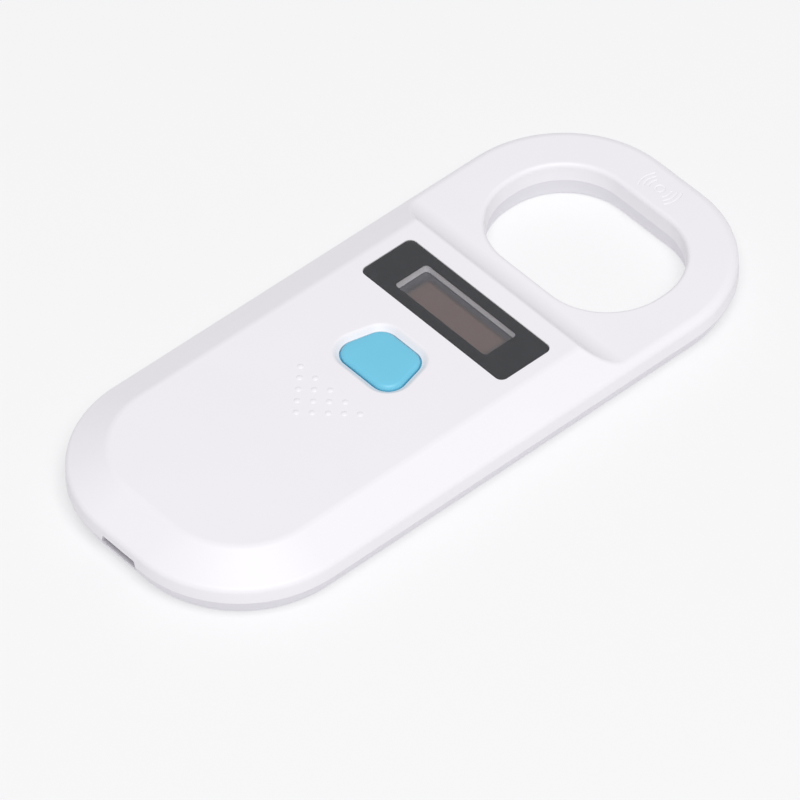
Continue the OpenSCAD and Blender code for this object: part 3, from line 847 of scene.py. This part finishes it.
# the display window: film, printed mask, tape, well and glass
window = {
    "width": 27,
    "length": 8.5,
    "radius": 0.8,
    "gap": 0.3,  # how far the well stands back from the clear window
    "wall": 0.9,
    "wallGap": 0.1,  # from the foot of the well to the panel
    "cornerSteps": 8,
    "filmRadius": 1.5,
    "filmSteps": 10,
    "play": 0.15,
    "filmEdge": 0.05,
    "tapeGrown": 0.1,
    "tapeBack": 0.05,  # how far the tape stands back from the well
    "ledge": 1.2,
    "glassEdge": 0.08,
    "glassAngle": 60,
}


def windowBlock(name, grown, lowZ, highZ):
    width = window["width"] + 2 * grown
    length = window["length"] + 2 * grown
    radius = window["radius"] + grown
    return roundedBlock(name, (0, lensMid.y), width, length, radius, lowZ, highZ, window["cornerSteps"])


def filmBlock(name, grown, lowZ, highZ):
    width = lensHigh.x - lensLow.x + 2 * grown
    length = lensHigh.y - lensLow.y + 2 * grown
    radius = window["filmRadius"] + grown
    return roundedBlock(name, (0, lensMid.y), width, length, radius, lowZ, highZ, window["filmSteps"])


def makeWindow():
    film = filmBlock("lensFilm", 0, lensLow.z, lensHigh.z)
    softEdges(film, window["filmEdge"], 2, lambda e: level(e, lensHigh.z))
    finishPiece(film, polycarbonateFilm, "casing", ["display_lens"])
    film.visible_shadow = False  # light reaches what lies under the clear film
    film.visible_diffuse = False
    mask = filmBlock("lensMask", 0, maskLow.z, maskHigh.z)
    cutAway(mask, windowBlock("cut", 0, 0, clear["above"]))
    finishPiece(mask, screenInk, "casing", ["lens_mask"])
    tape = filmBlock("lensTape", window["tapeGrown"], tapeLow.z, tapeHigh.z)
    cutAway(tape, windowBlock("cut", window["gap"] + window["tapeBack"], 0, clear["above"]))
    finishPiece(tape, acrylicTape, "casing", ["lens_adhesive"])
    halfZ = (panelLow.z + panelHigh.z) / 2
    panel = block("displayPanel", panelLow, (panelHigh.x, panelHigh.y, halfZ))
    addOn(panel, block("cover", (panelLow.x, panelLow.y + window["ledge"], halfZ - overlap), panelHigh))
    softEdges(panel, window["glassEdge"], 2, lambda e: foldOver(e, window["glassAngle"]) and e.is_convex)
    finishPiece(panel, displayGlass, "casing", ["oled_panel"])


def roundStepEdge(shell):  # softens the crest where the flat top turns down to the head
    radius = head["stepRadius"]
    rise = casing["topZ"] - head["topZ"]
    edgeY = head["footY"] - math.sqrt(radius ** 2 - (radius - rise) ** 2)

    def onCrest(e):
        high = all(v.co.z > head["topZ"] - close and v.co.y > edgeY - head["crestBack"] for v in e.verts)
        slant = head["crestSlant"]
        across = any(abs(f.normal.x) < slant and f.normal.y >= -slant for f in e.link_faces)
        return high and across and foldOver(e, head["crestAngle"]) and e.is_convex

    softEdges(shell, head["stepEdge"], head["stepEdgeSteps"], onCrest)


# cross-recessed screws that stand on their heads
screwKinds = [
    {
        "name": "casingScrews",
        "node": "casing_screws",
        "low": screwsLow,
        "high": screwsHigh,
        "rows": 2,
        "head": 1.9,
        "height": 1.3,
        "shank": 1.0,
        "recess": 0.7,
    },
    {
        "name": "boardScrews",
        "node": "board_screws",
        "low": boardScrewsLow,
        "high": boardScrewsHigh,
        "rows": 1,
        "head": 1.5,
        "height": 0.8,
        "shank": 0.8,
        "recess": 0.45,
    },
]
screwForm = {
    "headEdge": 0.3,
    "headSteps": 4,
    "tipEdge": 0.25,
    "sides": 24,
    "reach": 0.6,  # the cross's half length, as a share of the head's radius
    "slot": 0.24,  # its half width, as a share of the shank's
    "taper": 0.6,
    "pilotPlay": 0.02,
    "pilotOver": 0.4,
}


def screwPlaces(kind):
    low = kind["low"] + Vector((kind["head"], kind["head"], 0))
    high = kind["high"] - Vector((kind["head"], kind["head"], 0))
    return [(x, y) for x in (low.x, high.x) for y in (low.y, high.y)[:kind["rows"]]]


def makeScrew(kind, x, y):
    lowZ = kind["low"].z
    screw = cylinderAt("screw", x, y, lowZ, lowZ + kind["height"], kind["head"])
    softEdges(screw, screwForm["headEdge"], screwForm["headSteps"], lambda e: level(e, lowZ))
    shankZ = lowZ + kind["height"] - overlap
    shank = cylinderAt("shank", x, y, shankZ, kind["high"].z, kind["shank"], screwForm["sides"])
    softEdges(shank, screwForm["tipEdge"], 2, lambda e: level(e, kind["high"].z))
    addOn(screw, shank)
    reach = kind["head"] * screwForm["reach"]
    slot = kind["shank"] * screwForm["slot"]
    for alongX, alongY in ((reach, slot), (slot, reach)):
        bottom = (x - alongX, y - alongY, lowZ - 1)
        tool = block("recess", bottom, (x + alongX, y + alongY, lowZ + kind["recess"]))
        pickTop(tool)
        bpy.ops.transform.resize(value=(screwForm["taper"], screwForm["taper"], 1))
        leaveEdit()
        cutAway(screw, tool)
    return screw


def makeScrews(kind):
    screws = [makeScrew(kind, x, y) for x, y in screwPlaces(kind)]
    finishPiece(joinAll(screws, kind["name"]), zincSteel, "casing", [kind["node"]])


def makeFrontShell():
    shell = frontBlank()
    cutAway(shell, aboveHead("step", 0, 0))
    roundStepEdge(shell)
    cutAway(shell, frontInside())
    roof = casing["topZ"] - casing["wall"] + casing["postInto"]
    well = window["gap"] + window["wall"]
    addOn(shell, windowBlock("well", well, panelHigh.z + window["wallGap"], roof))
    feet = (casing["seamZ"], boardHigh.z)
    radii = (casing["postRadius"], casing["boardPostRadius"])
    for kind, footZ, radius in zip(screwKinds, feet, radii):
        pilotTop = kind["high"].z + screwForm["pilotOver"]
        pilotRadius = kind["shank"] + screwForm["pilotPlay"]
        for x, y in screwPlaces(kind):
            addOn(shell, cylinderAt("post", x, y, footZ, roof, radius))
            cutAway(shell, cylinderAt("pilot", x, y, 0, pilotTop, pilotRadius, screwForm["sides"]))
    addOn(shell, gripDots())
    cutAway(shell, fingerHole())
    cutAway(shell, filmBlock("pocket", window["play"], tapeLow.z, clear["above"]))
    cutAway(shell, windowBlock("aperture", window["gap"], 0, clear["above"]))
    cutAway(shell, keyOpening())
    cutAway(shell, portOpening())
    cutAway(shell, waveMark())
    return finishPiece(shell, whiteAbs, "casing", ["front_shell"])


def rearBlank():  # from the seam down: the leaning side, the round edge and the flat underside
    lean = math.radians(casing["rearLean"])
    radius = casing["rearEdge"]
    seam = casing["seamZ"]
    start = casing["rearStart"]
    foot = (radius * (1 - math.sin(lean)) + seam * math.sin(lean)) / math.cos(lean)
    piece = casingBlock("rearShell", 0, seam - start, seam)
    softEdges(piece, casing["seamSoft"], 2, lambda e: level(e, seam))
    pickBottom(piece)
    arcTop = radius * (1 - math.sin(lean))
    insetAndShift([(foot - radius * math.cos(lean), arcTop - seam + start)])
    insetAndShift(downwards(arcSteps(radius, casing["rearLean"], 90, casing["rearEdgeSteps"])))
    leaveEdit()
    return piece


def rearInside():
    depth = casing["seamZ"] - casing["floorZ"]
    piece = casingBlock("inside", casing["rearWall"], casing["seamZ"], casing["seamZ"] + clear["past"])
    pickBottom(piece)
    insetAndShift([(depth * math.tan(math.radians(casing["rearLean"])), -depth)])
    leaveEdit()
    cutAway(piece, holeBlock("holeWall", head["holeWall"], clear["below"], clear["above"]))
    return piece


# inside the rear shell: ribs beside the cell, pads under the coil, and the screws' sinks
rear = {
    "into": 0.5,  # how far a rib or a pad reaches into the floor
    "ribHeight": 1.6,
    "ribThickness": 1,
    "ribLength": 8,
    "ribGap": 0.1,
    "ribStarts": (-10.2, 2.2),
    "padHalf": 1.2,
    "postExtra": 0.5,
    "sinkRadius": 2.15,
    "passageRadius": 1.2,
    "below": -2,
    "roomPlay": 0.1,
    "roomTop": 9,
}


def innerSupports(shell):
    low = casing["floorZ"] - rear["into"]
    top = casing["floorZ"] + rear["ribHeight"]
    thick = rear["ribThickness"]
    length = rear["ribLength"]
    midY = (cellLow.y + cellHigh.y) / 2
    for x in (cellLow.x - rear["ribGap"] - thick, cellHigh.x + rear["ribGap"]):
        addOn(shell, block("rib", (x, midY - length / 2, low), (x + thick, midY + length / 2, top)))
    for y in (cellLow.y - rear["ribGap"] - thick, cellHigh.y + rear["ribGap"]):
        for x in rear["ribStarts"]:
            addOn(shell, block("rib", (x, y, low), (x + length, y + thick, top)))
    half = rear["padHalf"]
    for x, y in ((coilLow.x + half, coilMid.y), (coilHigh.x - half, coilMid.y), (0, coilHigh.y - half)):
        addOn(shell, block("pad", (x - half, y - half, low), (x + half, y + half, coilLow.z)))


# the blank rating label and its seat in the underside
label = {"radius": 1.8, "steps": 8, "edge": 0.04, "play": 0.2, "seat": 0.25, "seatSteps": 6}


def makeRearShell():
    shell = rearBlank()
    tongueTop = casing["seamZ"] + casing["tongueHeight"]
    tongue = casingBlock("tongue", casing["wall"] - casing["tongue"], casing["seamZ"] - 1, tongueTop)
    cutAway(tongue, casingBlock("insideTongue", casing["rearWall"], casing["seamZ"] - 2, tongueTop + 1))
    cutAway(shell, rearInside())
    addOn(shell, tongue)
    innerSupports(shell)
    sinkTop = screwsLow.z + screwKinds[0]["height"]
    postRadius = casing["postRadius"] + rear["postExtra"]
    for x, y in screwPlaces(screwKinds[0]):
        addOn(shell, cylinderAt("post", x, y, rear["into"], casing["seamZ"], postRadius))
        cutAway(shell, cylinderAt("sink", x, y, rear["below"], sinkTop, rear["sinkRadius"]))
        cutAway(shell, cylinderAt("passage", x, y, rear["below"], rear["roomTop"], rear["passageRadius"]))
    cutAway(shell, fingerHoleBelow())
    cutAway(shell, portOpening())
    play = Vector((1, 1, 1)) * rear["roomPlay"]
    for name, low, high in (("socketRoom", socketLow, socketHigh), ("plugRoom", plugLow, plugHigh)):
        cutAway(shell, block(name, low - play, Vector((high.x, high.y, rear["roomTop"])) + play))
    width = labelHigh.x - labelLow.x + 2 * label["play"]
    length = labelHigh.y - labelLow.y + 2 * label["play"]
    middle = (0, labelMid.y)
    radius = label["radius"] + label["play"]
    cutAway(shell, roundedBlock(
        "labelRoom", middle, width, length, radius, clear["below"], label["seat"], label["seatSteps"]))
    # the rear shell wears the greyer copy of the white resin, which is painted shade
    return finishPiece(shell, shadedWhiteAbs, "casing", ["rear_shell"])


def makeLabel():
    width = labelHigh.x - labelLow.x
    length = labelHigh.y - labelLow.y
    middle = (0, labelMid.y)
    piece = roundedBlock(
        "ratingLabel", middle, width, length, label["radius"], labelLow.z, labelHigh.z, label["steps"])
    softEdges(piece, label["edge"], 2, lambda e: level(e, labelLow.z))
    return finishPiece(piece, labelFilm, "casing", ["rating_label"])


makeFrontShell()
makeRearShell()
makeKey()
makeWindow()
makeSocket()
makeLabel()
for kind in screwKinds:
    makeScrews(kind)
print("pieces done")

# the CAD nodes that stay get the finish of their slot
finishes = {
    "black_foam": cellFoam,
    "flex_film": polyimideFilm,
    "black_nylon": blackNylon,
    "tinned_steel": tinPlate,
    "green_board": solderResist,
    "chip_epoxy": mouldedEpoxy,
    "crystal_can": nickelCan,
    "ferrite": sinteredFerrite,
    "ceramic": firedTitanate,
    "cell_foil": laminatedFoil,
    "amber_tape": polyimideTape,
    "red_wire": redSilicone,
    "black_wire": blackSilicone,
    "cream_nylon": naturalNylon,
    "coil_copper": enamelledCopper,
}
slotOf = {part["node"]: part["material_slot"] for part in frame["record"]["subparts"]}
for node, piece in frame["nodes"].items():
    if not piece.hide_render:
        piece.data.materials.clear()
        piece.data.materials.append(finishes[slotOf[node]])
print("finishes on the nodes that stay")
